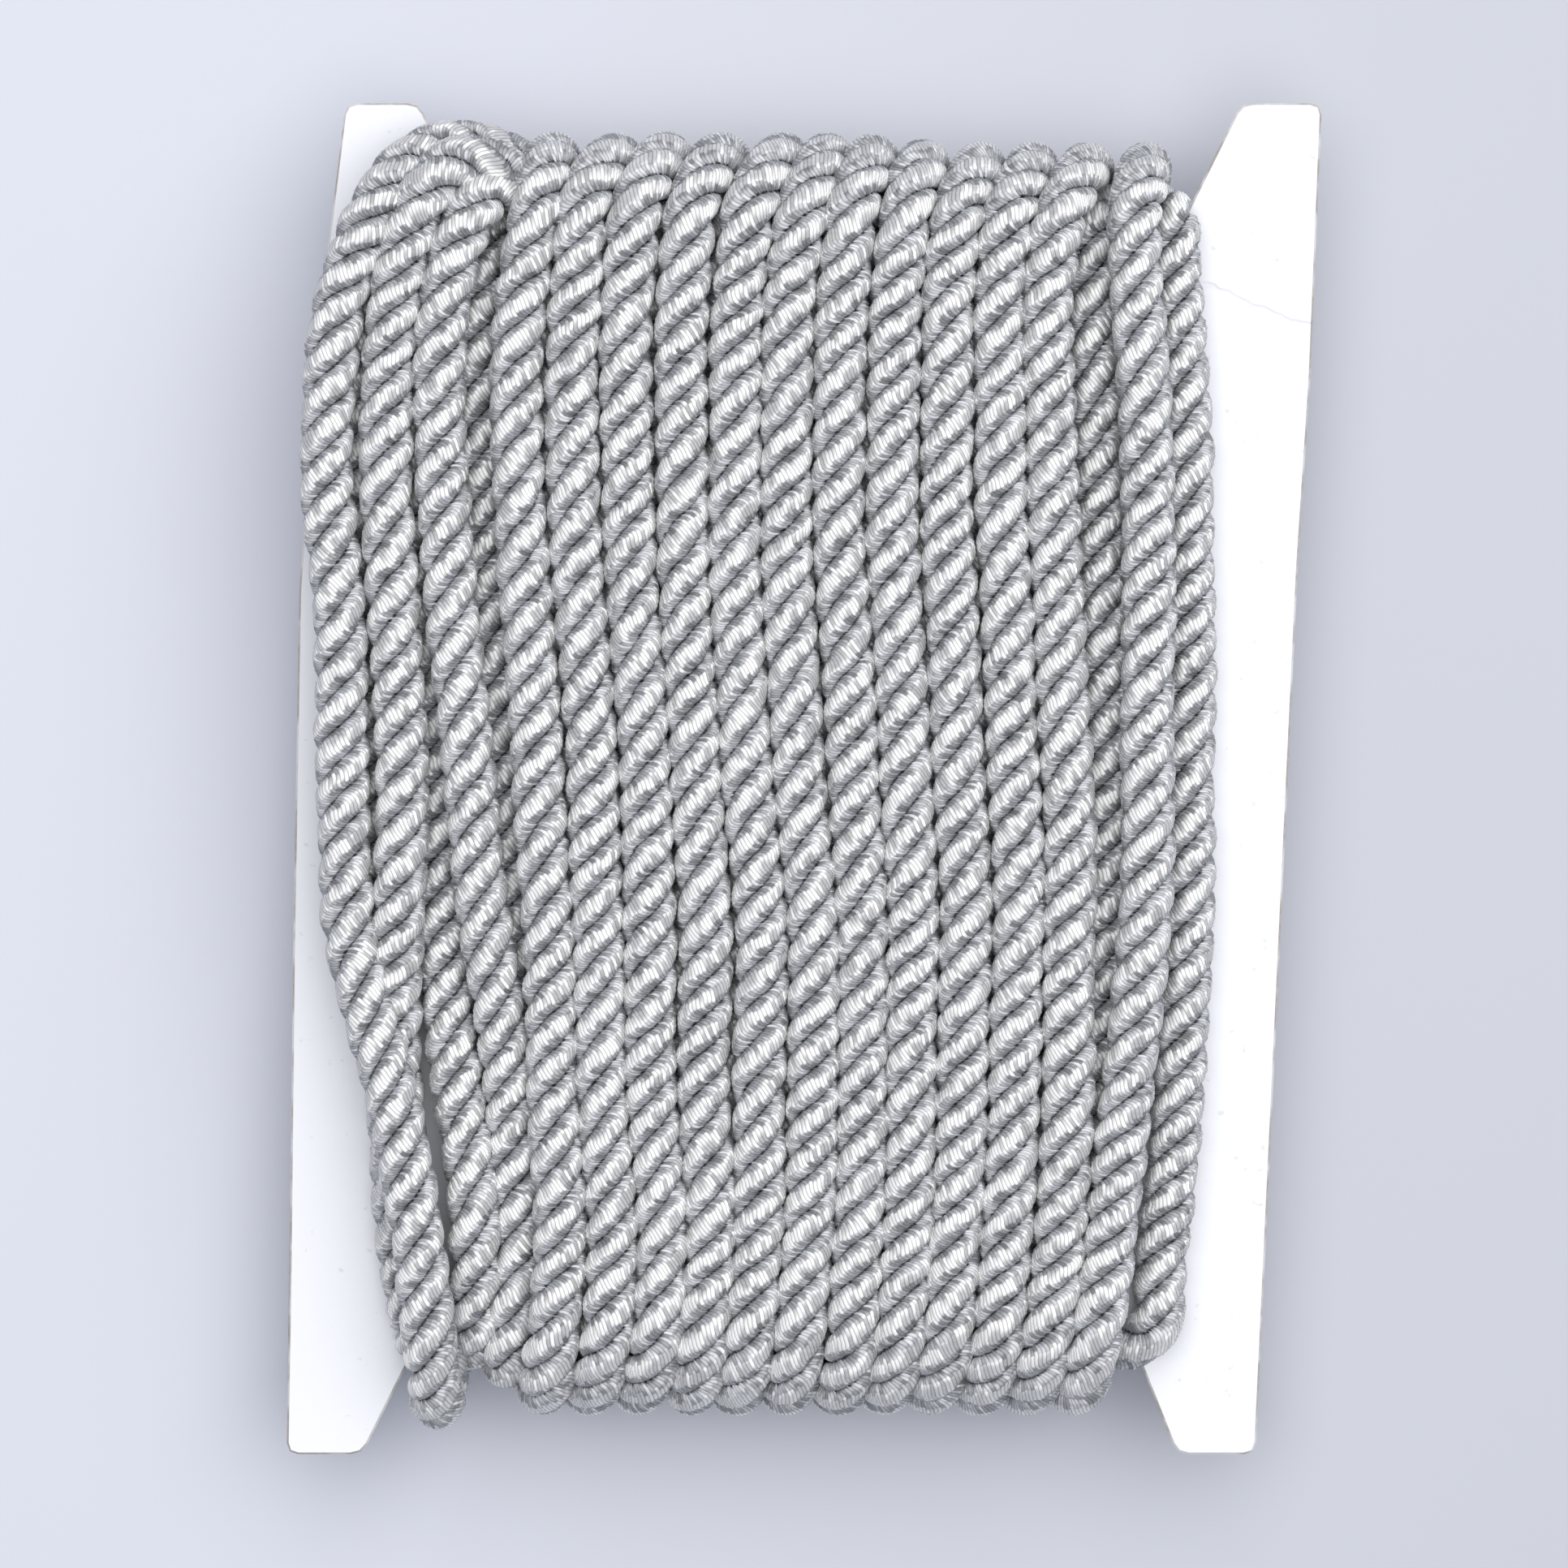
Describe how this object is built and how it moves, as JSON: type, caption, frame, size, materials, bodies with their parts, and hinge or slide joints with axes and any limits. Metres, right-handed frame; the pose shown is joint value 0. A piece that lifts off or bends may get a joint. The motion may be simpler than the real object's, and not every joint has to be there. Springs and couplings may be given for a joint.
{
  "type": "twisted cord trim on a winding card",
  "caption": "Three-ply twisted satin cord trim, wound in two layers round the waist of a flat die-cut card.",
  "frame": {"origin": "centre of the footprint, on the surface that the winding's back rests on", "axes": "+Y up the length of the card and along the turns, +X across the card from the loose outer turn to the first turn, +Z out of the front of the winding"},
  "size_m": [0.0984, 0.1284, 0.0215],
  "materials": {
    "satin_cord": "silver grey satin yarn with a bright sheen along each ply",
    "board": "smooth white board with a rough greyish cut edge"
  },
  "bodies": {
    "root": {"wound_cord": "satin_cord", "card": "board"}
  },
  "joints": []
}
